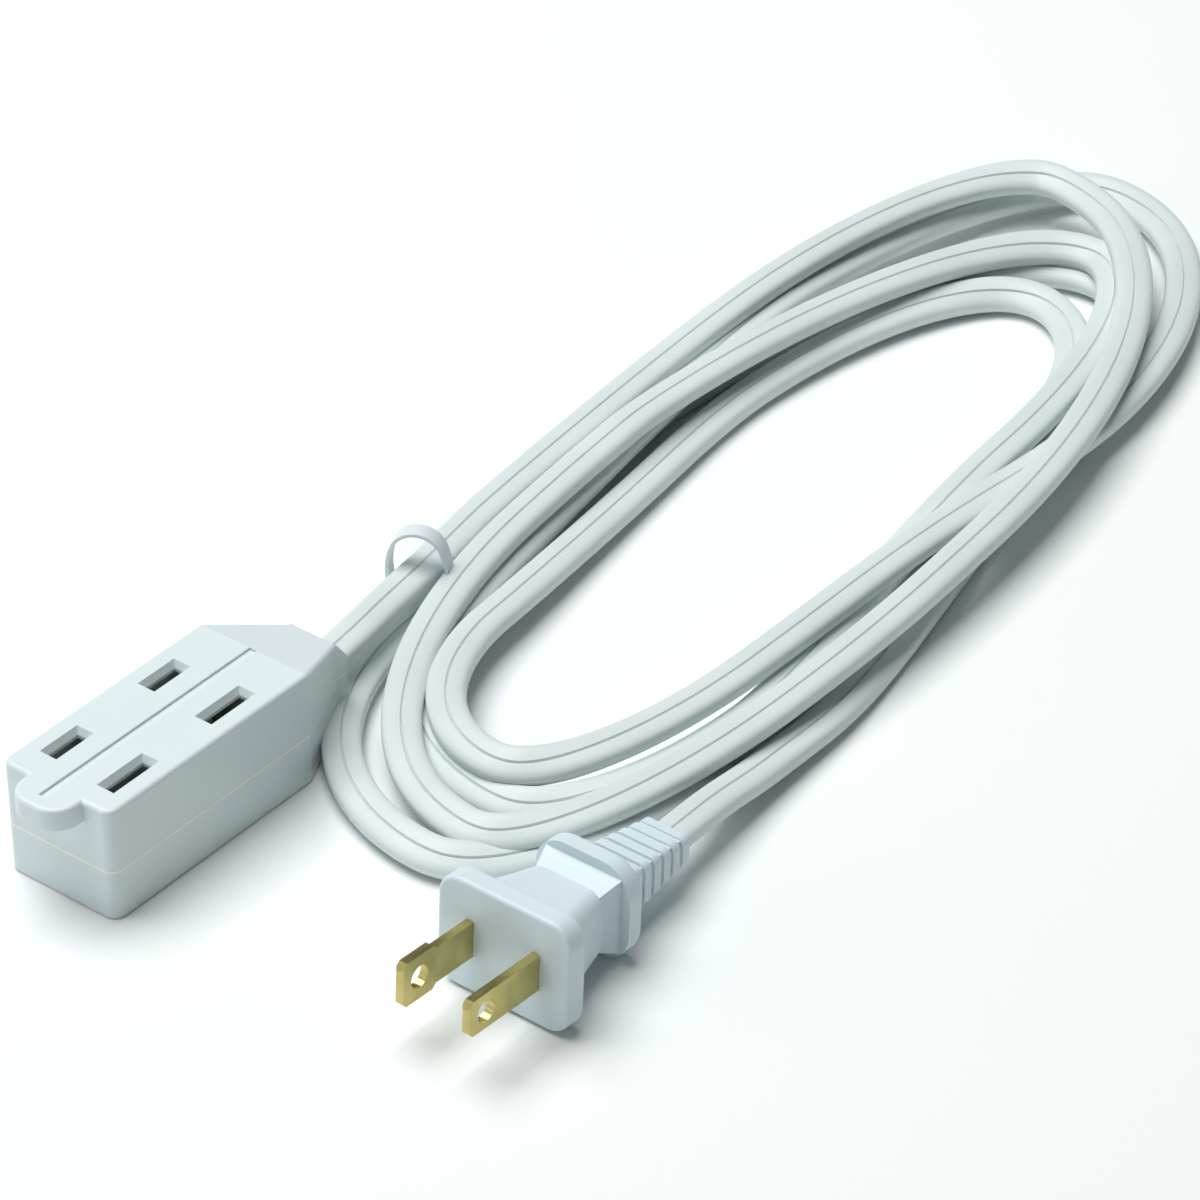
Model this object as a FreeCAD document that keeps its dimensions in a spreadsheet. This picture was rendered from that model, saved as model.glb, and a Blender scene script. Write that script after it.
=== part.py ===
import FreeCAD, Part
import math
import os
import re
import Sketcher
from FreeCAD import Vector

# Two-wire household extension cord: a twin-outlet socket block, a flat twin cord in a loose
# oblong hank, and a two-blade polarised plug. Millimetres. +Z is up and +Y runs from the
# block's front towards its cord exit. The origin is the bottom centre of the socket block.

doc = FreeCAD.newDocument("ExtensionCord")
sheet = doc.addObject("Spreadsheet::Sheet", "Sizes")

sizes = {
    # socket block
    "block_width": 22.6, "block_length": 45.5, "block_height": 20.5, "parting_height": 8.8,
    "wall_thickness": 1.8, "rib_thickness": 1.6, "corner_round": 2.0, "rim_round": 0.8,
    "taper_length": 14.0, "taper_top": 15.5, "neck_length": 2.5,
    "neck_width": 9.6, "neck_bottom": 2.0, "neck_top": 12.2, "tab_reach": 5.4,
    "tab_width": 11.4, "tab_thickness": 3.8, "tab_round": 4.4, "chamber_length": 11.0,
    # outlets
    "blade_spacing": 12.7, "outlet_pitch": 22.2, "outlet_inset": 9.6, "slot_width": 2.3,
    "slot_flare": 0.6, "wide_slot": 9.0, "narrow_slot": 7.2, "groove_width": 1.5,
    "groove_depth": 0.45,
    # contact strips
    "strip_width": 5.6, "strip_thickness": 0.6, "strip_height": 3.0, "leaf_length": 7.0,
    "leaf_gap": 1.2, "leaf_top": 15.0, "crimp_length": 5.0, "crimp_wall": 0.5,
    # cord
    "cord_width": 6.6, "cord_thickness": 3.3, "cord_clearance": 0.1, "core_radius": 0.75,
    "core_clearance": 0.04, "core_overlap": 3.0, "core_lead": 1.5, "core_straight": 2.0,
    # plug: plug_x runs from the block's side, plug_y from the neck's end
    "plug_x": 59.3, "plug_y": -41.2, "plate_width": 25.4, "plate_height": 19.5,
    "plate_thickness": 4.0, "plate_round": 4.0, "plate_rim": 0.7, "waist_width": 20.0,
    "waist_height": 15.0, "waist_round": 3.0, "waist_end": 15.0, "root_width": 14.0,
    "root_height": 12.0, "flare_width": 14.6, "flare_height": 13.4, "grip_start": 19.0,
    "grip_thickness": 3.4, "grip_width": 18.2, "grip_height": 17.0, "grip_round": 5.4,
    "grip_rim": 0.9, "bridge_width": 15.6, "bridge_height": 9.0, "bridge_length": 7.0,
    "bridge_inset": 1.6, "split_wall": 3.0, "cord_entry": 2.0, "relief_length": 17.2,
    "relief_width": 11.4, "relief_height": 8.8, "relief_end_width": 9.0,
    "relief_end_height": 5.6, "relief_round": 1.4, "rib_height": 0.7, "rib_width": 1.6,
    # blades
    "blade_length": 16.5, "blade_thickness": 1.5, "blade_width": 6.35, "wide_blade": 7.9,
    "wide_reach": 7.8, "blade_tail": 8.0, "blade_hole": 3.96, "hole_reach": 12.4,
    "blade_chamfer": 1.1, "shoulder_chamfer": 0.7,
    # tie
    "tie_width": 10.8, "tie_height": 15.8, "tie_ribbon": 3.2, "tie_thickness": 0.6,
    "tie_end": 4.8,
    # hank
    "hank_height": 11.6, "hank_round": 2.6, "hank_reach": 117.0, "hank_side": 40.0,
    "hank_end": 30.0, "hank_hole_reach": 82.0, "hank_hole_side": 21.0, "hank_hole_end": 15.0,
    "hank_hole_shift": 9.0,
}
for row, (alias, number) in enumerate(sizes.items(), start=1):
    sheet.set(f"A{row}", alias)
    sheet.set(f"B{row}", str(number))
    sheet.setAlias(f"B{row}", alias)
doc.recompute()

# Places along the block, from its front face back to the end of its neck.
front = "(tab_reach - block_length - taper_length - neck_length) / 2"
rear = f"({front} + block_length)"
neck_start = f"({front} + block_length + taper_length)"
exit_end = f"({front} + block_length + taper_length + neck_length)"
blade_x = "blade_spacing / 2"
relief_start = "(grip_start + grip_thickness)"
relief_ribs = 7
overrun = 1.0

# The plug stands beside the block, and the hank and tie follow the block's side and neck.
plug_across = "(block_width / 2 + plug_x)"
plug_along = f"({exit_end} + plug_y)"

# The plug leans back on its face plate's lower edge and its grip's.
plug_lean = ("atan((plate_height - grip_height)"
             " / (2 * (grip_start + grip_thickness - plate_thickness)))")
plug_rise = f"(plate_thickness * sin({plug_lean}) + plate_height / 2 * cos({plug_lean}))"

# The bridge and the body round it are never narrower than the pair of blades needs.
bridge_span = "max(bridge_width; blade_spacing + 2 * blade_thickness)"
root_span = "max(root_width; blade_spacing + blade_thickness)"
waist_span = "max(waist_width; blade_spacing + 5 * blade_thickness)"

# The cord's own route, chosen by hand: offsets from the neck's end and from the relief's end.
lead_route = [(0, 0, 0), (-0.9, 7.8, 0), (-2.8, 16.9, -0.5), (-4.6, 27.3, -1.1),
              (-6.9, 39.3, -1.7), (-9.3, 52.3, -2.0)]
tail_route = [(0, 0, 0), (-0.4, 6.5, -0.45), (-1.3, 14.5, -1.6), (-2.0, 24.0, -3.4),
              (-2.6, 34.5, -4.4)]
tie_offset = (-5.4, 29.9)
tie_turn = 25.0
hank_offset = (14.7, 90.3)
hank_turn = 7.0


def value(alias):
    return float(sheet.get(alias))


def cells(expression):
    """Names the sheet in front of every alias in an expression."""
    return re.sub(r"\b([a-z]+(?:_[a-z]+)+)\b", r"Sizes.\1", str(expression))


def number(expression):
    """The value of an expression on the sheet's aliases."""
    return float(sheet.evalExpression(cells(expression)))


def bind(item, **properties):
    for name, expression in properties.items():
        item.setExpression(name.replace("__", "."), cells(expression))


def move(item, x=0, y=0, z=0):
    bind(item, Placement__Base__x=x, Placement__Base__y=y, Placement__Base__z=z)
    return item


def box(name, size, at):
    """A block centred on x, starting at y and z."""
    item = doc.addObject("Part::Box", name)
    bind(item, Length=size[0], Width=size[1], Height=size[2])
    return move(item, f"{at[0]} - ({size[0]}) / 2", at[1], at[2])


def cylinder_along_y(name, radius, length, at):
    item = doc.addObject("Part::Cylinder", name)
    bind(item, Radius=radius, Height=length)
    item.Placement.Rotation = FreeCAD.Rotation(Vector(1, 0, 0), -90)
    return move(item, *at)


def fused(name, items):
    item = doc.addObject("Part::MultiFuse", name)
    item.Shapes = items
    item.Refine = True
    return item


def cut(name, base, tools):
    item = doc.addObject("Part::Cut", name)
    item.Base = base
    item.Tool = tools[0] if len(tools) == 1 else fused(f"{name}_tools", tools)
    return item


def common(name, first, second):
    item = doc.addObject("Part::Common", name)
    item.Base = first
    item.Tool = second
    return item


def new_body(name):
    return doc.addObject("PartDesign::Body", name)


def origin_plane(body, role):
    return next(item for item in body.Origin.OriginFeatures if item.Role == role)


def rectangle(body, name, role, width, height, x="0", y="0", z="0"):
    """A rectangle centred on its sketch's origin, on one of the body's own planes."""
    sketch = body.newObject("Sketcher::SketchObject", name)
    sketch.AttachmentSupport = (origin_plane(body, role), [""])
    sketch.MapMode = "FlatFace"
    bind(sketch, AttachmentOffset__Base__x=x, AttachmentOffset__Base__y=y,
         AttachmentOffset__Base__z=z)
    corners = [Vector(-2, -1, 0), Vector(2, -1, 0), Vector(2, 1, 0), Vector(-2, 1, 0)]
    for index in range(4):
        sketch.addGeometry(Part.LineSegment(corners[index], corners[(index + 1) % 4]))
    for index in range(4):
        sketch.addConstraint(Sketcher.Constraint("Coincident", index, 2, (index + 1) % 4, 1))
    for index in (0, 2):
        sketch.addConstraint(Sketcher.Constraint("Horizontal", index))
        sketch.addConstraint(Sketcher.Constraint("Vertical", index + 1))
    sketch.addConstraint(Sketcher.Constraint("Symmetric", 0, 1, 1, 2, -1, 1))
    wide = sketch.addConstraint(Sketcher.Constraint("DistanceX", 0, 1, 0, 2, 4.0))
    tall = sketch.addConstraint(Sketcher.Constraint("DistanceY", 1, 1, 1, 2, 2.0))
    sketch.renameConstraint(wide, "width")
    sketch.renameConstraint(tall, "height")
    bind(sketch, Constraints__width=width, Constraints__height=height)
    return sketch


def section(body, name, width, height, y, x="0", z="0"):
    """A rectangle across the Y axis at a distance y, with x and z as its centre."""
    return rectangle(body, name, "XZ_Plane", width, height, x, z, f"-({y})")


def pad(body, sketch, length, backwards=False):
    item = body.newObject("PartDesign::Pad", f"{sketch.Name}_pad")
    item.Profile = sketch
    item.Reversed = backwards
    bind(item, Length=length)
    return item


def pocket(body, sketch, length, midplane=False):
    """Cuts length deep against the sketch's normal, which is +Y for sections."""
    doc.recompute()
    before = body.Shape.Volume
    item = body.newObject("PartDesign::Pocket", f"{sketch.Name}_pocket")
    item.Profile = sketch
    item.Midplane = midplane
    bind(item, Length=length)
    doc.recompute()
    if body.Shape.Volume > before - 1e-6:
        raise RuntimeError(f"{sketch.Name} cuts nothing: {item.State}, {before:.1f}")
    return item


def loft(body, sketches):
    item = body.newObject("PartDesign::AdditiveLoft", f"{sketches[0].Name}_loft")
    item.Profile = sketches[0]
    item.Sections = sketches[1:]
    item.Ruled = True
    return item


def rounded(body, chosen, radius, kind="Fillet"):
    """Rounds or chamfers the edges that a test picks out of the body's shape."""
    doc.recompute()
    base = body.Tip
    names = [f"Edge{index}" for index, edge in enumerate(base.Shape.Edges, start=1)
             if chosen(edge)]
    item = body.newObject(f"PartDesign::{kind}", f"{base.Name}_{kind.lower()}")
    item.Base = (base, names)
    bind(item, **{"Radius" if kind == "Fillet" else "Size": radius})
    doc.recompute()
    return item


def ends(edge):
    return [vertex.Point for vertex in edge.Vertexes]


def along(edge, axis):
    """True for a straight edge along one axis (0, 1 or 2)."""
    points = ends(edge)
    if len(points) != 2 or not isinstance(edge.Curve, Part.Line):
        return False
    step = points[1] - points[0]
    return abs(step[axis]) > 0.999 * step.Length


def near(first, second):
    return abs(first - second) < 1e-4


def plain(name, shape, place=None):
    """A piece whose shape comes from Part's own functions."""
    item = doc.addObject("Part::Feature", name)
    item.Shape = shape
    if place:
        item.Placement = place
    return item


def flat_section(width, height, centre, across, upward):
    """The cord's outline: two straight sides and two round ends."""
    round_end = height / 2
    side = across * (width / 2 - round_end)
    tip = across * (width / 2)
    lift = upward * round_end
    top = Part.LineSegment(centre - side + lift, centre + side + lift)
    right = Part.Arc(centre + side + lift, centre + tip, centre + side - lift)
    bottom = Part.LineSegment(centre + side - lift, centre - side - lift)
    left = Part.Arc(centre - side - lift, centre - tip, centre - side + lift)
    return Part.Wire([edge.toShape() for edge in (top, right, bottom, left)])


def rounded_path(points):
    """Straight runs joined by tangent arcs, with the arcs' radii."""
    edges = []
    radii = []
    start = points[0]
    for before, corner, after in zip(points, points[1:], points[2:]):
        inward = (corner - before).normalize()
        onward = (after - corner).normalize()
        turn = inward.getAngle(onward)
        setback = 0.45 * min((corner - before).Length, (after - corner).Length)
        radius = setback / math.tan(turn / 2)
        first = corner - inward * setback
        last = corner + onward * setback
        bisector = (onward - inward).normalize()
        middle = corner + bisector * (radius / math.cos(turn / 2) - radius)
        edges.append(Part.LineSegment(start, first).toShape())
        edges.append(Part.Arc(first, middle, last).toShape())
        radii.append(radius)
        start = last
    edges.append(Part.LineSegment(start, points[-1]).toShape())
    return Part.Wire(edges), radii


def swept(name, points, outline, level=True):
    """A plain solid of one outline along a route, with its radii and volume reported."""
    path, radii = rounded_path(points)
    sweep = Part.BRepOffsetAPI.MakePipeShell(path)
    if level:
        sweep.setBiNormalMode(Vector(0, 0, 1))
    sweep.add(outline)
    sweep.build()
    sweep.makeSolid()
    solid = sweep.shape()
    expected = Part.Face(outline).Area * path.Length
    print(f"{name}: length {path.Length:.1f}, radii {[round(radius, 1) for radius in radii]}, "
          f"volume {solid.Volume:.0f} against {expected:.0f}")
    return solid


def swept_core(name, points):
    start = points[0]
    heading = (points[1] - points[0]).normalize()
    circle = Part.Wire(Part.Circle(start, heading, value("core_radius")).toShape())
    return swept(name, points, circle, level=False)


# ---- socket block ----

def block_form():
    """The block's outer shape, from the thumb tab to the neck."""
    body = new_body("block_form")
    base = rectangle(body, "block_plan", "XY_Plane", "block_width", "block_length",
                     y=f"{front} + block_length / 2")
    pad(body, base, "block_height")
    front_y = number(front)
    rounded(body, lambda edge: along(edge, 2) and near(ends(edge)[0].y, front_y),
            "corner_round")
    tab = rectangle(body, "tab_plan", "XY_Plane", "tab_width", "tab_reach + corner_round",
                    y=f"{front} - (tab_reach - corner_round) / 2",
                    z="block_height - tab_thickness")
    pad(body, tab, "tab_thickness")
    tab_y = number(f"{front} - tab_reach")
    rounded(body, lambda edge: along(edge, 2) and near(ends(edge)[0].y, tab_y), "tab_round")
    back = section(body, "taper_back", "block_width", "block_height", rear,
                   z="block_height / 2")
    narrow = section(body, "taper_narrow", "neck_width", "taper_top - neck_bottom", neck_start,
                     z="(taper_top + neck_bottom) / 2")
    neck = section(body, "neck_start", "neck_width", "taper_top - neck_bottom", neck_start,
                   z="(taper_top + neck_bottom) / 2")
    end = section(body, "neck_end", "neck_width", "neck_top - neck_bottom", exit_end,
                  z="(neck_top + neck_bottom) / 2")
    loft(body, [back, narrow])
    top = value("block_height")
    back_y = number(rear)
    ridge_ends = {round(back_y, 3), round(number(neck_start), 3)}

    def on_rim(edge):
        points = ends(edge)
        level = all(near(point.z, top) for point in points)
        ridge = {round(point.y, 3) for point in points} == ridge_ends
        upper = near(max(point.z for point in points), top)
        return (level and not all(near(point.y, back_y) for point in points)
                or ridge and upper)

    rounded(body, on_rim, "rim_round")
    loft(body, [neck, end])
    return body


def cavity():
    """Two channels for the contact strips and a chamber behind them for the conductors."""
    depth = "block_height - 2 * wall_thickness"
    run = "block_length - wall_thickness - chamber_length"
    inner = ("max(block_width - 2 * wall_thickness; "
             "blade_spacing + strip_width + 2 * cord_clearance)")
    tools = []
    for side, sign in (("line", "-1"), ("neutral", "1")):
        tools.append(box(f"{side}_channel", (f"({inner} - rib_thickness) / 2", run, depth),
                         (f"{sign} * ({inner} + rib_thickness) / 4",
                          f"{front} + wall_thickness", "wall_thickness")))
    tools.append(box("chamber", (inner, "chamber_length - wall_thickness", depth),
                     ("0", f"{rear} - chamber_length", "wall_thickness")))
    return fused("cavity", tools)


def cord_passage():
    width = value("cord_width") + 2 * value("cord_clearance")
    height = value("cord_thickness") + 2 * value("cord_clearance")
    start = number(rear) - value("wall_thickness") - overrun
    outline = flat_section(width, height, Vector(0, start, value("parting_height")),
                           Vector(1, 0, 0), Vector(0, 0, 1))
    length = number(exit_end) - start + overrun
    return plain("cord_passage", Part.Face(outline).extrude(Vector(0, length, 0)))


def slot_cutter(name, length, x, y):
    """A blade slot with a flared rim."""
    shaft = box(f"{name}_shaft", ("slot_width", length, "2 * wall_thickness"),
                (x, f"{y} - ({length}) / 2", "block_height - 1.5 * wall_thickness"))
    flare = doc.addObject("Part::Wedge", f"{name}_flare")
    bind(flare, Xmin="-slot_width / 2", Xmax="slot_width / 2", Zmin=f"-({length}) / 2",
         Zmax=f"({length}) / 2", X2min="-slot_width / 2 - slot_flare",
         X2max="slot_width / 2 + slot_flare", Z2min=f"-({length}) / 2 - slot_flare",
         Z2max=f"({length}) / 2 + slot_flare", Ymin="0 mm", Ymax="2 * slot_flare")
    flare.Placement.Rotation = FreeCAD.Rotation(Vector(1, 0, 0), 90)
    move(flare, x, y, "block_height - 2 * slot_flare")
    return fused(name, [shaft, flare])


def outlet_slots():
    tools = []
    for place, step in (("front", "0"), ("rear", "outlet_pitch")):
        y = f"{front} + outlet_inset + {step}"
        tools.append(slot_cutter(f"{place}_line_slot", "narrow_slot", f"-{blade_x}", y))
        tools.append(slot_cutter(f"{place}_neutral_slot", "wide_slot", blade_x, y))
    return tools


def top_groove():
    """The shallow line down the middle of the top face, from the tab to the taper."""
    return box("top_groove", ("groove_width", "block_length + tab_reach / 2", "2 * groove_depth"),
               ("0", f"{front} - tab_reach / 2", "block_height - groove_depth"))


def strip_rests():
    """Pads on the lower shell's floor that carry the contact strips."""
    pads = []
    for side, sign in (("line", "-"), ("neutral", "")):
        for place, step in (("front", "0"), ("rear", "outlet_pitch")):
            pads.append(box(f"{side}_{place}_rest",
                            ("strip_width", "leaf_length / 2", "strip_height - wall_thickness"),
                            (f"{sign}{blade_x}", f"{front} + outlet_inset + {step}",
                             "wall_thickness")))
    return pads


def shells():
    form = block_form()
    hollow = cavity()
    passage = cord_passage()
    reach = "block_length + taper_length + neck_length + tab_reach"
    above = box("above_parting", ("2 * block_width", reach, "block_height"),
                ("0", f"{front} - tab_reach", "parting_height"))
    below = box("below_parting", ("2 * block_width", reach, "parting_height"),
                ("0", f"{front} - tab_reach", "0"))
    upper = common("upper_form", form, above)
    lower = common("lower_form", form, below)
    upper_shell = cut("upper_shell", upper, [hollow, passage, top_groove()] + outlet_slots())
    lower_hollow = cut("lower_hollow", lower, [hollow, passage])
    lower_shell = fused("lower_shell", [lower_hollow] + strip_rests())
    return [upper_shell, lower_shell]


def contact_strip(side, sign):
    """One stamped strip: a base, a pair of spring leaves at each outlet, and a crimp barrel."""
    x = f"{sign} * {blade_x}"
    start = f"{front} + outlet_inset - leaf_length / 2"
    length = "outlet_pitch + leaf_length + crimp_length"
    pieces = [box(f"{side}_strip_base", ("strip_width", length, "strip_thickness"),
                  (x, start, "strip_height"))]
    rise = "leaf_top - strip_height"
    for place, step in (("front", "0"), ("rear", "outlet_pitch")):
        for hand, offset in (("inner", "-"), ("outer", "+")):
            leaf_x = f"{x} {offset} (leaf_gap + strip_thickness) / 2"
            pieces.append(box(f"{side}_{place}_{hand}_leaf",
                              ("strip_thickness", "leaf_length", rise),
                              (leaf_x, f"{start} + {step}", "strip_height")))
    outer = "core_radius + core_clearance + crimp_wall"
    at = (x, f"{start} + outlet_pitch + leaf_length",
          "strip_height + strip_thickness + core_radius + core_clearance")
    barrel = cylinder_along_y(f"{side}_barrel", outer, "crimp_length", at)
    pieces.append(barrel)
    whole = fused(f"{side}_strip_whole", pieces)
    bore = cylinder_along_y(f"{side}_bore", "core_radius + core_clearance",
                            f"crimp_length + {overrun}", at)
    return cut(f"{side}_contact_strip", whole, [bore])


def socket_core(side, sign):
    """The bare conductor from the cord's end down into the strip's crimp barrel."""
    level = value("parting_height")
    split = sign * value("cord_width") / 4
    outer = sign * value("blade_spacing") / 2
    barrel = number("strip_height + strip_thickness + core_radius + core_clearance")
    start = number(rear) - value("wall_thickness")
    crimp_end = number(f"{front} + outlet_inset + outlet_pitch + leaf_length / 2"
                       " + crimp_length")
    points = [Vector(split, start, level),
              Vector(split, start - value("core_straight"), level),
              Vector(outer, crimp_end + value("core_lead"), barrel),
              Vector(outer, crimp_end - value("core_overlap"), barrel)]
    name = f"socket_{side}_core"
    return plain(name, swept_core(name, points))


def straight_cord(name, start, end, x, z):
    outline = flat_section(value("cord_width"), value("cord_thickness"), Vector(x, start, z),
                           Vector(1, 0, 0), Vector(0, 0, 1))
    return plain(name, Part.Face(outline).extrude(Vector(0, end - start, 0)))


def socket():
    pieces = shells()
    pieces.append(contact_strip("line", "-1"))
    pieces.append(contact_strip("neutral", "1"))
    pieces.append(socket_core("line", -1))
    pieces.append(socket_core("neutral", 1))
    pieces.append(straight_cord("socket_cord_end", number(rear) - value("wall_thickness"),
                                number(exit_end), 0, value("parting_height")))
    return pieces


# ---- plug, drawn about the middle of its face with the cord running off along +Y ----

def place_plug(item):
    item.Placement.Rotation = FreeCAD.Rotation(Vector(1, 0, 0), -number(plug_lean))
    bind(item, Placement__Base__x=plug_across, Placement__Base__y=plug_along,
         Placement__Base__z=plug_rise)
    return item


def blade_pockets(body, tag, y, length):
    for side, sign in (("line", "1"), ("neutral", "-1")):
        hole = section(body, f"{tag}_{side}_slot", "blade_thickness", "blade_width", y,
                       x=f"{sign} * {blade_x}")
        pocket(body, hole, length)


def plug_body():
    body = new_body("plug_body")
    plate = section(body, "face_plate", "plate_width", "plate_height", "0")
    pad(body, plate, "plate_thickness", backwards=True)
    rounded(body, lambda edge: along(edge, 1), "plate_round")
    rounded(body, lambda edge: not along(edge, 1), "plate_rim")
    waist = section(body, "waist", waist_span, "waist_height", "plate_thickness / 2")
    root = section(body, "waist_root", root_span, "root_height", "waist_end")
    loft(body, [waist, root])
    root_y = value("waist_end")
    rounded(body, lambda edge: len(ends(edge)) == 2 and not along(edge, 0)
            and not along(edge, 2) and near(max(p.y for p in ends(edge)), root_y),
            "waist_round")
    flare_start = section(body, "flare_start", f"{root_span} - 2 * waist_round / 3",
                          "root_height - 2 * waist_round / 3", "waist_end")
    flare_end = section(body, "flare_end", "flare_width", "flare_height", "grip_start")
    loft(body, [flare_start, flare_end])
    grip = section(body, "grip", "grip_width", "grip_height", "grip_start")
    pad(body, grip, "grip_thickness", backwards=True)
    grip_y = value("grip_start")
    grip_end = number(relief_start)
    rounded(body, lambda edge: along(edge, 1) and near(min(p.y for p in ends(edge)), grip_y)
            and near(max(p.y for p in ends(edge)), grip_end), "grip_round")
    rounded(body, lambda edge: all(near(p.y, grip_end) for p in ends(edge)), "grip_rim")
    pocket(body, section(body, "bridge_space", bridge_span, "bridge_height", "bridge_inset"),
           "bridge_length")
    blade_pockets(body, "face", "0", "bridge_inset")
    split_start = "(bridge_inset + bridge_length)"
    pocket(body, section(body, "split_space", "blade_spacing - blade_thickness",
                         "cord_thickness", split_start),
           f"grip_start - split_wall - {split_start}")
    pocket(body, section(body, "body_passage", "cord_width + 2 * cord_clearance",
                         "cord_thickness + 2 * cord_clearance", split_start),
           f"grip_start + grip_thickness - {split_start}")
    return place_plug(body)


def plug_bridge():
    """The hard inner block that holds both blades."""
    body = new_body("plug_bridge")
    pad(body, section(body, "bridge", bridge_span, "bridge_height", "bridge_inset"),
        "bridge_length", backwards=True)
    blade_pockets(body, "bridge", "bridge_inset", "blade_tail - bridge_inset")
    room_start = "(blade_tail - core_overlap - cord_clearance)"
    blade_face = f"({blade_x} - blade_thickness / 2)"
    for side, sign in (("line", "1"), ("neutral", "-1")):
        room = section(body, f"{side}_core_room", f"{blade_face} - cord_width / 4",
                       "2 * core_radius + 2 * cord_clearance", room_start,
                       x=f"{sign} * ({blade_face} + cord_width / 4) / 2")
        pocket(body, room, f"bridge_inset + bridge_length - {room_start}")
    return place_plug(body)


def blade(side, sign, tip_width):
    """A flat brass blade with a chamfered tip, a hole and a tail inside the bridge."""
    body = new_body(f"{side}_blade")
    x = f"{sign} * {blade_x}"
    whole = section(body, f"{side}_shank", "blade_thickness", "blade_width", "-blade_length",
                    x=x)
    pad(body, whole, "blade_length + blade_tail", backwards=True)
    tip_y = -value("blade_length")
    shoulder_y = tip_y + value("wide_reach")
    if tip_width != "blade_width":
        tip = section(body, f"{side}_tip", "blade_thickness", tip_width, "-blade_length", x=x)
        pad(body, tip, "wide_reach", backwards=True)
        wide_z = value(tip_width) / 2
        rounded(body, lambda edge: along(edge, 0) and near(ends(edge)[0].y, shoulder_y)
                and near(abs(ends(edge)[0].z), wide_z), "shoulder_chamfer", "Chamfer")
    rounded(body, lambda edge: along(edge, 0) and near(ends(edge)[0].y, tip_y),
            "blade_chamfer", "Chamfer")
    rounded(body, lambda edge: along(edge, 2) and near(ends(edge)[0].y, tip_y),
            "blade_thickness / 4", "Chamfer")
    drill = body.newObject("Sketcher::SketchObject", f"{side}_hole")
    drill.AttachmentSupport = (origin_plane(body, "YZ_Plane"), [""])
    drill.MapMode = "FlatFace"
    bind(drill, AttachmentOffset__Base__x="-hole_reach")
    drill.addGeometry(Part.Circle(Vector(0, 0, 0), Vector(0, 0, 1), 2))
    drill.addConstraint(Sketcher.Constraint("Coincident", 0, 3, -1, 1))
    size = drill.addConstraint(Sketcher.Constraint("Diameter", 0, 4.0))
    drill.renameConstraint(size, "hole")
    bind(drill, Constraints__hole="blade_hole")
    pocket(body, drill, "2 * blade_spacing", midplane=True)
    return place_plug(body)


def strain_relief():
    """The tapered sleeve behind the grip, with ribs that shrink along it."""
    body = new_body("plug_strain_relief")
    start = section(body, "relief_root", "relief_width - 2 * rib_height",
                    "relief_height - 2 * rib_height", relief_start)
    end = section(body, "relief_end", "relief_end_width - 2 * rib_height",
                  "relief_end_height - 1.2 * rib_height", f"{relief_start} + relief_length")
    loft(body, [start, end])
    for index in range(relief_ribs):
        share = index / (relief_ribs - 1)
        width = f"relief_width + (relief_end_width - relief_width) * {share:.4f}"
        height = f"relief_height + (relief_end_height - relief_height) * {share:.4f}"
        y = f"{relief_start} + (relief_length - rib_width) * {share:.4f}"
        rib = section(body, f"relief_rib_{index + 1}", width, height, y)
        pad(body, rib, "rib_width", backwards=True)
    corner = value("rib_width")
    rounded(body, lambda edge: along(edge, 1) and near(edge.Length, corner),
            "relief_round")
    bore = section(body, "relief_passage", "cord_width + 2 * cord_clearance",
                   "cord_thickness + 2 * cord_clearance", relief_start)
    pocket(body, bore, "relief_length")
    return place_plug(body)


def plug_core(side, sign):
    """The bare conductor beside the blade's tail, back to the cord's end."""
    split = sign * value("cord_width") / 4
    beside = sign * number("blade_spacing / 2 - blade_thickness / 2 - core_radius"
                           " - core_clearance")
    cord_start = value("grip_start") - value("cord_entry")
    overlap = value("core_overlap")
    points = [Vector(beside, value("blade_tail") - overlap, 0),
              Vector(beside, number("bridge_inset + bridge_length") + overlap, 0),
              Vector(split, cord_start - value("core_straight"), 0),
              Vector(split, cord_start, 0)]
    name = f"plug_{side}_core"
    return place_plug(plain(name, swept_core(name, points)))


def plug():
    pieces = [plug_body(), plug_bridge(), blade("line", "1", "blade_width"),
              blade("neutral", "-1", "wide_blade"), strain_relief(),
              plug_core("line", 1), plug_core("neutral", -1)]
    start = number("grip_start - cord_entry")
    end = number(f"{relief_start} + relief_length")
    pieces.append(place_plug(straight_cord("plug_cord_end", start, end, 0, 0)))
    return pieces


# ---- cord ----

def cord_run(name, points, upward):
    outline = flat_section(value("cord_width"), value("cord_thickness"), points[0],
                           Vector(1, 0, 0), upward)
    return plain(name, swept(name, points, outline))


def oval(long_half, wide_half, end_radius):
    """A wire of four tangent arcs: two ends and two long sides."""
    rise = long_half - end_radius
    reach = wide_half - end_radius
    side_radius = (rise ** 2 - reach ** 2) / (2 * reach) + wide_half
    centre = side_radius - wide_half
    joint = math.atan2(rise, centre)
    corner = Vector(math.cos(joint), math.sin(joint), 0) * end_radius + Vector(0, rise, 0)
    quarters = [(1, 1), (-1, 1), (-1, -1), (1, -1)]
    tips = [Vector(x * corner.x, y * corner.y, 0) for x, y in quarters]
    far = Part.Arc(tips[0], Vector(0, long_half, 0), tips[1])
    left = Part.Arc(tips[1], Vector(-wide_half, 0, 0), tips[2])
    near_end = Part.Arc(tips[2], Vector(0, -long_half, 0), tips[3])
    right = Part.Arc(tips[3], Vector(wide_half, 0, 0), tips[0])
    return Part.Wire([arc.toShape() for arc in (far, left, near_end, right)])


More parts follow.
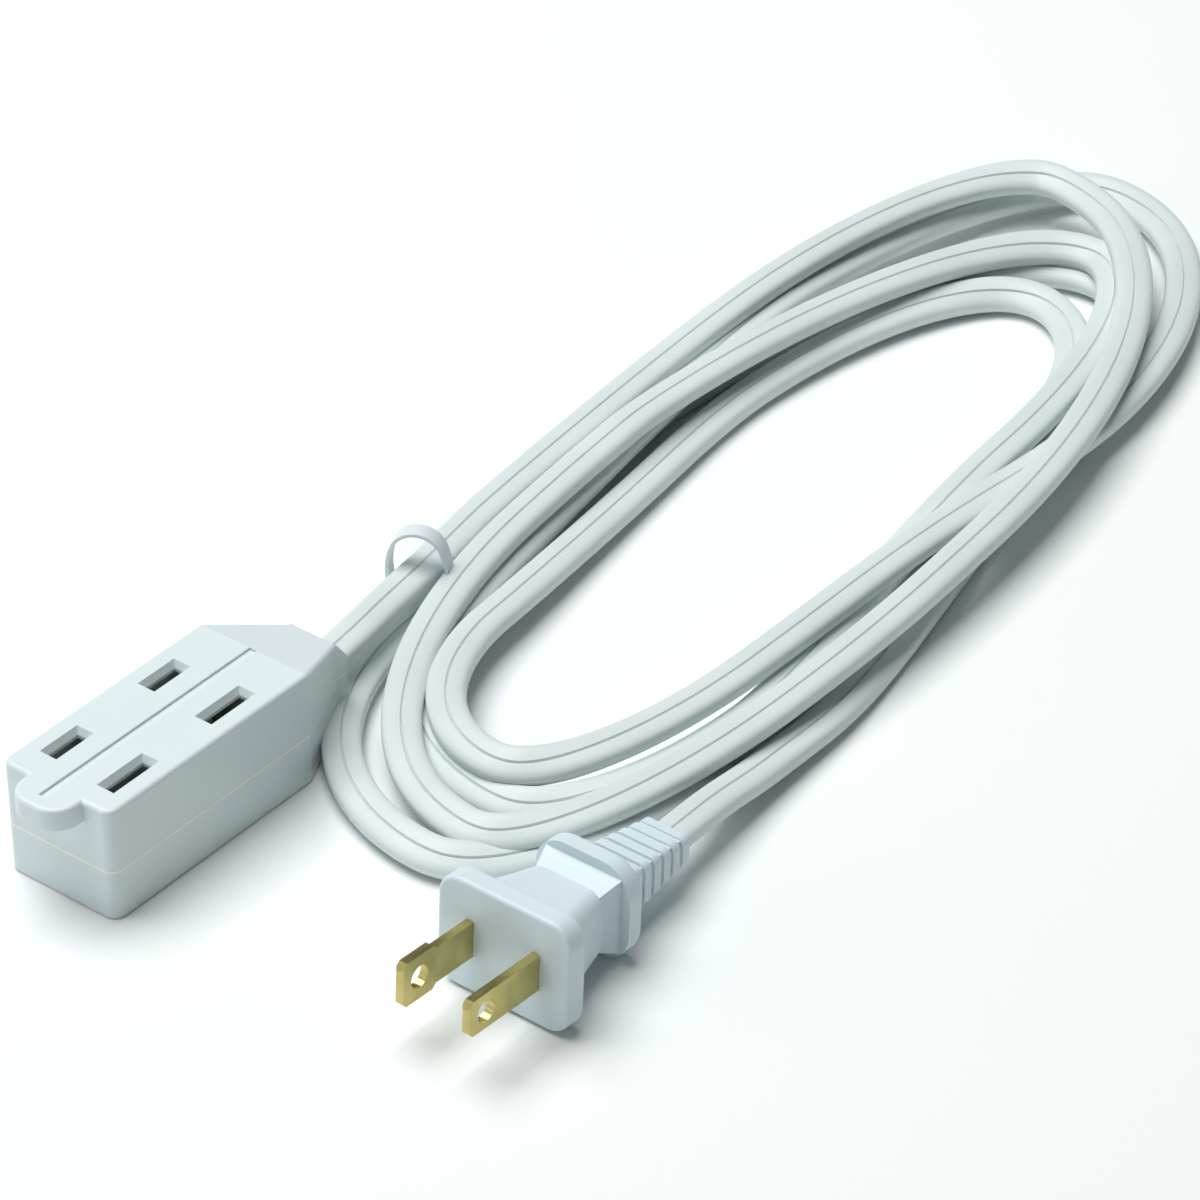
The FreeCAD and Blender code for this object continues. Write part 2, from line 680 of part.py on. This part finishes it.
def cord_hank():
    """The outer shape of the loose oblong hank, lying on the floor."""
    rise = Vector(0, 0, value("hank_height"))
    outline = oval(value("hank_reach"), value("hank_side"), value("hank_end"))
    opening = oval(value("hank_hole_reach"), value("hank_hole_side"), value("hank_hole_end"))
    opening.translate(Vector(0, -value("hank_hole_shift"), 0))
    ring = Part.Face(outline).extrude(rise).cut(Part.Face(opening).extrude(rise))
    rims = [edge for edge in ring.Edges
            if all(near(point.z, rise.z) for point in ends(edge))]
    ring = ring.makeFillet(value("hank_round"), rims)
    turn = FreeCAD.Rotation(Vector(0, 0, 1), hank_turn)
    return plain("cord_hank", ring, FreeCAD.Placement(beside_block(hank_offset), turn))


def beside_block(offset):
    """A place on the floor, from the line of the block's side and its neck's end."""
    return Vector(value("block_width") / 2 + offset[0], number(exit_end) + offset[1], 0)


def cord():
    neck = Vector(0, number(exit_end), value("parting_height"))
    lean = FreeCAD.Rotation(Vector(1, 0, 0), -number(plug_lean))
    relief = lean.multVec(Vector(0, number(f"{relief_start} + relief_length"), 0))
    relief += Vector(number(plug_across), number(plug_along), number(plug_rise))
    lead = [neck + Vector(*offset) for offset in lead_route]
    tail = [relief + Vector(*offset) for offset in tail_route]
    rise = Vector(0, 0, 1)
    return [cord_run("cord_lead", lead, rise), cord_hank(),
            cord_run("cord_tail", tail, lean.multVec(rise))]


def cord_tie():
    """A flat ribbon bent into a loop that stands round the cord."""
    wide = value("tie_width") / 2
    tall = value("tie_height") / 2
    thick = value("tie_thickness")
    ribbon = value("tie_ribbon")
    curve = value("tie_end")
    outer = Part.Face(oval(tall, wide, curve)).extrude(Vector(0, 0, ribbon))
    inner = Part.Face(oval(tall - thick, wide - thick, curve - thick))
    ring = outer.cut(inner.extrude(Vector(0, 0, ribbon)))
    stand = FreeCAD.Placement(Vector(0, ribbon / 2, tall), FreeCAD.Rotation(Vector(1, 0, 0), 90))
    place = Vector(tie_offset[0], number(exit_end) + tie_offset[1], 0)
    turn = FreeCAD.Placement(place, FreeCAD.Rotation(Vector(0, 0, 1), tie_turn))
    return plain("cord_tie", ring, turn.multiply(stand))


def write_parts(pieces):
    doc.recompute()
    for item in doc.Objects:
        if "Invalid" in item.State or "Error" in item.State:
            raise RuntimeError(f"{item.Name} failed: {item.State}")
    os.makedirs("parts", exist_ok=True)
    for piece in pieces:
        piece.Label = piece.Name
        if piece.Shape.isNull() or not piece.Shape.isValid():
            raise RuntimeError(f"{piece.Name} has no valid shape")
        print(f"{piece.Name}: {len(piece.Shape.Solids)} solid(s), {piece.Shape.Volume:.1f} mm3")
        piece.Shape.exportStep(f"parts/{piece.Name}.step")


write_parts(socket() + plug() + cord() + [cord_tie()])
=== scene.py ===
import bpy
import math
from mathutils import Matrix, Vector


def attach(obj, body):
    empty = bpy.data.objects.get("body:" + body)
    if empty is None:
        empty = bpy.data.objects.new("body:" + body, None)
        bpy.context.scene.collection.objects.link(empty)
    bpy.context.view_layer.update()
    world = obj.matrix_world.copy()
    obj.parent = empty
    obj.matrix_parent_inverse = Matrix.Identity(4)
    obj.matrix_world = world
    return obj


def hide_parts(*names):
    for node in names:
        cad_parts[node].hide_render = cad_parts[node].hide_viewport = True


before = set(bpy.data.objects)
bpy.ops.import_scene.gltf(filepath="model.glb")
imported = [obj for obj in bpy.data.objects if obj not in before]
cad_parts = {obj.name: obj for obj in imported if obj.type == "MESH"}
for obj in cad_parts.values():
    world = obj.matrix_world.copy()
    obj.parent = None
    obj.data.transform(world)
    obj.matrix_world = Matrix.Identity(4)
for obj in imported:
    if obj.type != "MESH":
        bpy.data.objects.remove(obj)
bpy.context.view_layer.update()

mm = 0.001


def deselectAll():
    for item in bpy.context.selected_objects:
        item.select_set(False)


def makeActive(piece):
    deselectAll()
    piece.select_set(True)
    bpy.context.view_layer.objects.active = piece


def toPoint(values):
    return Vector(values) * mm


def addMesh(name, points, faces):
    mesh = bpy.data.meshes.new(name)
    mesh.from_pydata(points, [], faces)
    mesh.update()
    piece = bpy.data.objects.new(name, mesh)
    bpy.context.collection.objects.link(piece)
    return piece


cameraValues = {
    "azimuth": 38.8,       # degrees round the object, 0 looks along +Y
    "elevation": 35.3,
    "roll": -0.45,
    "distance": 0.922,
    "target": (16.4, 83.7, 0.0),
    "lens": 167.7,
    "sensor": 36,
    "nearest": 0.05,
}


def makeCamera():
    values = cameraValues
    around = math.radians(values["azimuth"])
    above = math.radians(values["elevation"])
    away = Vector((math.sin(around) * math.cos(above), -math.cos(around) * math.cos(above),
                   math.sin(above)))
    camera = bpy.data.cameras.new("camera")
    camera.lens = values["lens"]
    camera.sensor_width = values["sensor"]
    camera.clip_start = values["nearest"]
    item = bpy.data.objects.new("camera", camera)
    item.location = toPoint(values["target"]) + away * values["distance"]
    turn = (-away).to_track_quat("-Z", "Y").to_matrix().to_4x4()
    item.matrix_world = (Matrix.Translation(item.location) @ turn
                         @ Matrix.Rotation(math.radians(values["roll"]), 4, "Z"))
    bpy.context.collection.objects.link(item)
    bpy.context.scene.camera = item


makeCamera()
print("camera placed")


cordValues = {
    "width": 6.6,
    "thickness": 3.3,
    "grooveWidth": 0.5,
    "grooveDepth": 0.5,
    "lean": 30,              # degrees that the flat side leans over in a bend
    "leanAzimuth": 38.8,
    "leanGain": 1.15,
    "outlinePoints": 13,     # on each conductor
    "lobeStart": 72,         # degrees, where a conductor's outline leaves the groove
    "lobePower": 0.62,       # below 1 squares the outline off
    "grooveLip": 0.97,       # of half the thickness
    "lineSteps": 11,
    "smoothAngle": 50,
    "uvPerMetre": 10,
}

# Where the cord leaves the block's neck and the plug's relief, and its own route from there.
neckEnd = (0.0, 33.7, 8.8)
reliefEnd = (70.6, 32.01, 7.32)
leadRoute = [(0, 0, 0), (-0.9, 7.8, 0), (-2.8, 16.9, -0.5), (-4.6, 27.3, -1.1),
             (-6.9, 39.3, -1.7), (-9.3, 52.3, -2.0)]
tailRoute = [(0, 0, 0), (-0.4, 6.5, -0.45), (-1.3, 14.5, -1.6), (-2.0, 24.0, -3.4),
             (-2.6, 34.5, -4.4)]
beforeTail = [(60.0, 118.0, 1.8), (65.4, 94.0, 1.9), (67.6, 79.0, 2.2)]

# Each bend of the hank, in the cord's order: a point on the way to it, where it starts, its
# tip and where it ends. The first bend follows the lead. Far bends and near bends alternate.
hankBends = [
    ((-12.6, 128.0, 7.2), (-14.0, 161.7, 7.8), (8.2, 228.0, 9.2), (63.6, 109.5, 8.3)),
    ((64.0, 96.0, 8.1), (64.0, 83.0, 7.8), (43.0, 17.0, 5.2), (-2.7, 98.0, 8.4)),
    ((-3.8, 110.0, 8.4), (-4.9, 122.8, 8.4), (24.2, 214.9, 6.4), (48.2, 143.9, 5.2)),
    ((53.2, 110.0, 5.1), (59.8, 74.5, 5.0), (40.5, 27.6, 3.2), (3.2, 64.8, 4.0)),
    ((-4.4, 112.0, 5.1), (-11.3, 163.3, 5.0), (13.1, 238.8, 3.1), (56.1, 162.8, 5.2)),
    ((54.6, 122.0, 8.4), (54.4, 83.3, 8.4), (36.7, 31.3, 6.8), (9.4, 70.0, 4.6)),
    ((4.4, 104.0, 2.4), (-0.3, 137.8, 1.8), (22.0, 200.5, 3.0), (45.1, 162.8, 1.8)),
    ((51.0, 118.0, 1.8), (62.3, 62.8, 1.8), (40.0, 10.5, 3.1), (-2.3, 60.0, 1.8)),
    ((-6.3, 91.0, 1.8), (-9.5, 121.7, 1.8), (26.0, 213.0, 3.0), (53.4, 146.7, 1.8)),
]
bendSteps = 5


# Two quarter ellipses: from the start round to the tip, and from there to the end.
def bendPoints(start, tip, end):
    points = []
    for base, order in ((start, range(bendSteps)), (end, range(bendSteps, -1, -1))):
        for step in order:
            angle = math.radians(90 * step / bendSteps)
            x = base[0] + (tip[0] - base[0]) * (1 - math.cos(angle))
            y = base[1] + (tip[1] - base[1]) * math.sin(angle)
            z = base[2] + (tip[2] - base[2]) * math.sin(angle)
            points.append((x, y, z))
    return points


def fromEnd(end, offsets):
    return [tuple(a + b for a, b in zip(end, offset)) for offset in offsets]


def wholeRoute():
    route = fromEnd(neckEnd, leadRoute)
    for approach, start, tip, end in hankBends:
        route.append(approach)
        route += bendPoints(start, tip, end)
    return route + beforeTail + fromEnd(reliefEnd, tailRoute)[::-1]


def nurbsLine(name, route):
    curve = bpy.data.curves.new(name, "CURVE")
    curve.dimensions = "3D"
    curve.resolution_u = cordValues["lineSteps"]
    spline = curve.splines.new("NURBS")
    spline.points.add(len(route) - 1)
    for point, place in zip(spline.points, route):
        point.co = (*toPoint(place), 1)
    spline.order_u = 3
    spline.use_endpoint_u = True
    item = bpy.data.objects.new(name, curve)
    bpy.context.collection.objects.link(item)
    bpy.context.view_layer.update()
    mesh = bpy.data.meshes.new_from_object(item)
    line = [vertex.co.copy() for vertex in mesh.vertices]
    bpy.data.objects.remove(item)
    return line


# Across and up offsets round the flat section, with a narrow groove on each side.
def cordOutline():
    values = cordValues
    halfWidth = values["width"] / 2
    halfThickness = values["thickness"] / 2
    bottom = halfThickness - values["grooveDepth"]
    lip = halfThickness * values["grooveLip"]
    start = values["lobeStart"]
    power = values["lobePower"]
    half = [(0.0, bottom), (values["grooveWidth"] / 2, lip)]
    for step in range(values["outlinePoints"]):
        angle = math.radians(start - 2 * start * step / (values["outlinePoints"] - 1))
        across = halfWidth * math.cos(angle) ** power
        tall = halfThickness * abs(math.sin(angle)) ** power * math.copysign(1, angle)
        half.append((across, tall))
    half.append((values["grooveWidth"] / 2, -lip))
    return half + [(-across, -tall) for across, tall in half]


def sectionFrame(line, index):
    values = cordValues
    before = line[max(index - 1, 0)]
    after = line[min(index + 1, len(line) - 1)]
    heading = (after - before).normalized()
    level = Vector((heading.x, heading.y, 0)).normalized()
    sideways = min(1.0, abs(level.x) * values["leanGain"])
    lean = math.radians(values["lean"]) * sideways * sideways * (3 - 2 * sideways)
    around = math.radians(values["leanAzimuth"])
    towards = Vector((math.sin(around), -math.cos(around), 0))
    upward = Vector((0, 0, 1)) * math.cos(lean) + towards * math.sin(lean)
    across = heading.cross(upward).normalized()
    return across, across.cross(heading).normalized()


def sweepCord(name, line):
    outline = cordOutline()
    count = len(outline)
    points = []
    for index, centre in enumerate(line):
        across, upward = sectionFrame(line, index)
        for wide, tall in outline:
            points.append(centre + (across * wide + upward * tall) * mm)
    faces = []
    for ring in range(len(line) - 1):
        for step in range(count):
            following = (step + 1) % count
            faces.append((ring * count + step, ring * count + following,
                          (ring + 1) * count + following, (ring + 1) * count + step))
    faces.append(tuple(reversed(range(count))))
    faces.append(tuple(range(len(points) - count, len(points))))
    piece = addMesh(name, points, faces)
    layer = piece.data.uv_layers.new(name="alongCord")
    travelled = [0.0]
    for a, b in zip(line, line[1:]):
        travelled.append(travelled[-1] + (b - a).length)
    for polygon in piece.data.polygons:
        for loop in polygon.loop_indices:
            vertex = piece.data.loops[loop].vertex_index
            along = travelled[vertex // count] * cordValues["uvPerMetre"]
            layer.data[loop].uv = (vertex % count / count, along)
    makeActive(piece)
    bpy.ops.object.mode_set(mode="EDIT")
    bpy.ops.mesh.select_all(action="SELECT")
    bpy.ops.mesh.normals_make_consistent(inside=False)
    bpy.ops.object.mode_set(mode="OBJECT")
    bpy.ops.object.shade_smooth_by_angle(angle=math.radians(cordValues["smoothAngle"]))
    return piece


cordLine = nurbsLine("cordRoute", wholeRoute())
cord = sweepCord("cord", cordLine)


def newMaterial(name):
    material = bpy.data.materials.new(name)
    material.use_nodes = True
    nodes = material.node_tree.nodes
    shader = nodes["Principled BSDF"]
    return material, nodes, material.node_tree.links, shader


def objectNoise(nodes, links, scale, detail=4.0):
    place = nodes.new("ShaderNodeTexCoord")
    noise = nodes.new("ShaderNodeTexNoise")
    noise.inputs["Scale"].default_value = scale
    noise.inputs["Detail"].default_value = detail
    links.new(place.outputs["Object"], noise.inputs["Vector"])
    return noise


def mixColours(nodes, links, factor, first, second, name="colour"):
    ramp = nodes.new("ShaderNodeValToRGB")
    ramp.name = name
    ramp.color_ramp.elements[0].position = 0.3
    ramp.color_ramp.elements[1].position = 0.7
    ramp.color_ramp.elements[0].color = (*first, 1)
    ramp.color_ramp.elements[1].color = (*second, 1)
    links.new(factor, ramp.inputs["Fac"])
    return ramp.outputs["Color"]


def addBump(nodes, links, height, shader, strength, distance):
    bump = nodes.new("ShaderNodeBump")
    bump.inputs["Strength"].default_value = strength
    bump.inputs["Distance"].default_value = distance
    links.new(height, bump.inputs["Height"])
    links.new(bump.outputs["Normal"], shader.inputs["Normal"])


def roughnessRange(nodes, links, factor, shader, low, high):
    spread = nodes.new("ShaderNodeMapRange")
    spread.inputs["To Min"].default_value = low
    spread.inputs["To Max"].default_value = high
    links.new(factor, spread.inputs["Value"])
    links.new(spread.outputs["Result"], shader.inputs["Roughness"])


def mouldedPlastic(name, light, dark, roughness, grain, bumpHeight):
    material, nodes, links, shader = newMaterial(name)
    cloud = objectNoise(nodes, links, 60)
    links.new(mixColours(nodes, links, cloud.outputs["Fac"], dark, light),
              shader.inputs["Base Color"])
    fine = objectNoise(nodes, links, grain, 6)
    roughnessRange(nodes, links, fine.outputs["Fac"], shader, roughness - 0.06,
                   roughness + 0.08)
    addBump(nodes, links, fine.outputs["Fac"], shader, 0.5, bumpHeight * mm)
    shader.inputs["Subsurface Weight"].default_value = 0.12
    shader.inputs["Subsurface Radius"].default_value = (0.002, 0.002, 0.002)
    shader.inputs["Subsurface Scale"].default_value = 0.5
    shader.inputs["IOR"].default_value = 1.48
    return material


def cordVinyl():
    material, nodes, links, shader = newMaterial("cordVinyl")
    cloud = objectNoise(nodes, links, 45)
    links.new(mixColours(nodes, links, cloud.outputs["Fac"], (0.68, 0.76, 0.75),
                         (0.75, 0.82, 0.82)), shader.inputs["Base Color"])
    place = nodes.new("ShaderNodeUVMap")
    place.uv_map = "alongCord"
    stretch = nodes.new("ShaderNodeMapping")
    stretch.inputs["Scale"].default_value = (90, 1.2, 1)
    lines = nodes.new("ShaderNodeTexNoise")
    lines.inputs["Scale"].default_value = 1.0
    lines.inputs["Detail"].default_value = 3.0
    links.new(place.outputs["UV"], stretch.inputs["Vector"])
    links.new(stretch.outputs["Vector"], lines.inputs["Vector"])
    roughnessRange(nodes, links, lines.outputs["Fac"], shader, 0.34, 0.5)
    addBump(nodes, links, lines.outputs["Fac"], shader, 0.35, 0.00006)
    shader.inputs["Subsurface Weight"].default_value = 0.15
    shader.inputs["Subsurface Radius"].default_value = (0.0015, 0.0015, 0.0015)
    shader.inputs["Subsurface Scale"].default_value = 0.5
    return material


# The painted highlight along the housing's seam: its height and half width in mm, and its
# colour.
seamHighlightValues = {"height": 8.8, "halfWidth": 0.18, "colour": (1.0, 1.0, 1.0)}


# A thin white line at one height, where two moulded halves meet: the seam is real, its
# brightness is a painted highlight along the seam's edge.
def addSeamHighlight(material):
    nodes = material.node_tree.nodes
    links = material.node_tree.links
    shader = nodes["Principled BSDF"]
    place = nodes.new("ShaderNodeTexCoord")
    split = nodes.new("ShaderNodeSeparateXYZ")
    near = nodes.new("ShaderNodeMath")
    near.operation = "COMPARE"
    near.inputs[1].default_value = seamHighlightValues["height"] * mm
    near.inputs[2].default_value = seamHighlightValues["halfWidth"] * mm
    blend = nodes.new("ShaderNodeMix")
    blend.data_type = "RGBA"
    blend.inputs[7].default_value = (*seamHighlightValues["colour"], 1)
    links.new(place.outputs["Object"], split.inputs["Vector"])
    links.new(split.outputs["Z"], near.inputs[0])
    links.new(near.outputs[0], blend.inputs[0])
    links.new(shader.inputs["Base Color"].links[0].from_socket, blend.inputs[6])
    links.new(blend.outputs[2], shader.inputs["Base Color"])


def brushedMetal(name, light, dark, roughness, stretchAxis):
    material, nodes, links, shader = newMaterial(name)
    tarnish = objectNoise(nodes, links, 220, 5)
    links.new(mixColours(nodes, links, tarnish.outputs["Fac"], dark, light),
              shader.inputs["Base Color"])
    place = nodes.new("ShaderNodeTexCoord")
    stretch = nodes.new("ShaderNodeMapping")
    stretch.inputs["Scale"].default_value = tuple(90 if axis == stretchAxis else 2200
                                                  for axis in range(3))
    streaks = nodes.new("ShaderNodeTexNoise")
    streaks.inputs["Scale"].default_value = 1.0
    links.new(place.outputs["Object"], stretch.inputs["Vector"])
    links.new(stretch.outputs["Vector"], streaks.inputs["Vector"])
    roughnessRange(nodes, links, streaks.outputs["Fac"], shader, roughness - 0.1,
                   roughness + 0.12)
    addBump(nodes, links, streaks.outputs["Fac"], shader, 0.25, 0.00004)
    shader.inputs["Metallic"].default_value = 1.0
    return material


def paint(piece, material):
    piece.data.materials.clear()
    piece.data.materials.append(material)


# Each plastic's light and dark colour, roughness, grain scale and bump height in mm.
plasticValues = {
    "housingPlastic": ((0.76, 0.85, 0.86), (0.73, 0.83, 0.84), 0.36, 2600, 0.03),
    "tiePlastic": ((0.76, 0.83, 0.86), (0.72, 0.80, 0.83), 0.4, 2400, 0.03),
    "plugVinyl": ((0.72, 0.83, 0.87), (0.68, 0.80, 0.84), 0.42, 2200, 0.04),
    "bridgePlastic": ((0.66, 0.67, 0.64), (0.60, 0.61, 0.58), 0.5, 1800, 0.04),
}
# Each metal's light and dark colour and roughness.
metalValues = {
    "contactBrass": ((0.78, 0.62, 0.32), (0.66, 0.5, 0.24), 0.34),
    "bladeBrass": ((0.66, 0.57, 0.24), (0.48, 0.42, 0.15), 0.3),
    "coreCopper": ((0.8, 0.46, 0.3), (0.62, 0.34, 0.2), 0.36),
}
drawnAxis = 1
vinyl = cordVinyl()
plastics = {name: mouldedPlastic(name, *values) for name, values in plasticValues.items()}
metals = {name: brushedMetal(name, *values, drawnAxis) for name, values in metalValues.items()}
# Paints a highlight line along the housing's seam.
addSeamHighlight(plastics["housingPlastic"])
paint(cord, vinyl)
nodeMaterials = {
    plastics["housingPlastic"]: ("upper_shell", "lower_shell"),
    plastics["tiePlastic"]: ("cord_tie",),
    plastics["plugVinyl"]: ("plug_body", "plug_strain_relief"),
    plastics["bridgePlastic"]: ("plug_bridge",),
    metals["contactBrass"]: ("line_contact_strip", "neutral_contact_strip"),
    metals["bladeBrass"]: ("line_blade", "neutral_blade"),
    metals["coreCopper"]: ("socket_line_core", "socket_neutral_core", "plug_line_core",
                           "plug_neutral_core"),
    vinyl: ("socket_cord_end", "plug_cord_end"),
}
for material, nodeNames in nodeMaterials.items():
    for nodeName in nodeNames:
        paint(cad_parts[nodeName], material)
print("materials assigned")

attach(cord, "root")
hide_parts("cord_lead", "cord_hank", "cord_tail")


studioValues = {
    "floorColour": (0.95, 0.98, 0.975),
    "floorRoughness": 0.9,
    "floorSize": 6,
    "floorDrop": 0.0002,     # keeps the floor just under what rests on it
    "skyColour": (0.9, 0.97, 1.0),
    "skyStrength": 0.09,
    # place, how large it is, its power in watts
    "overhead": ((-0.42, 0.02, 1.45), 1.2, 26.0),
    "frontLeft": ((-0.75, -1.05, 0.55), 0.9, 2.7),
}


def makeStudio():
    deselectAll()
    bpy.ops.mesh.primitive_plane_add(size=studioValues["floorSize"],
                                     location=(0, 0, -studioValues["floorDrop"]))
    floor = bpy.context.object
    floor.name = "floor"
    material, nodes, links, shader = newMaterial("floorPaint")
    shader.inputs["Base Color"].default_value = (*studioValues["floorColour"], 1)
    shader.inputs["Roughness"].default_value = studioValues["floorRoughness"]
    paint(floor, material)
    world = bpy.data.worlds.new("studio")
    world.use_nodes = True
    sky = world.node_tree.nodes["Background"]
    sky.inputs["Color"].default_value = (*studioValues["skyColour"], 1)
    sky.inputs["Strength"].default_value = studioValues["skyStrength"]
    bpy.context.scene.world = world
    for name in ("overhead", "frontLeft"):
        place, size, power = studioValues[name]
        light = bpy.data.lights.new(name, "AREA")
        light.energy = power
        light.size = size
        item = bpy.data.objects.new(name, light)
        item.location = place
        towards = toPoint(cameraValues["target"]) - item.location
        item.rotation_euler = towards.to_track_quat("-Z", "Y").to_euler()
        bpy.context.collection.objects.link(item)
    bpy.context.scene.view_settings.view_transform = "Standard"


makeStudio()
print("studio made")
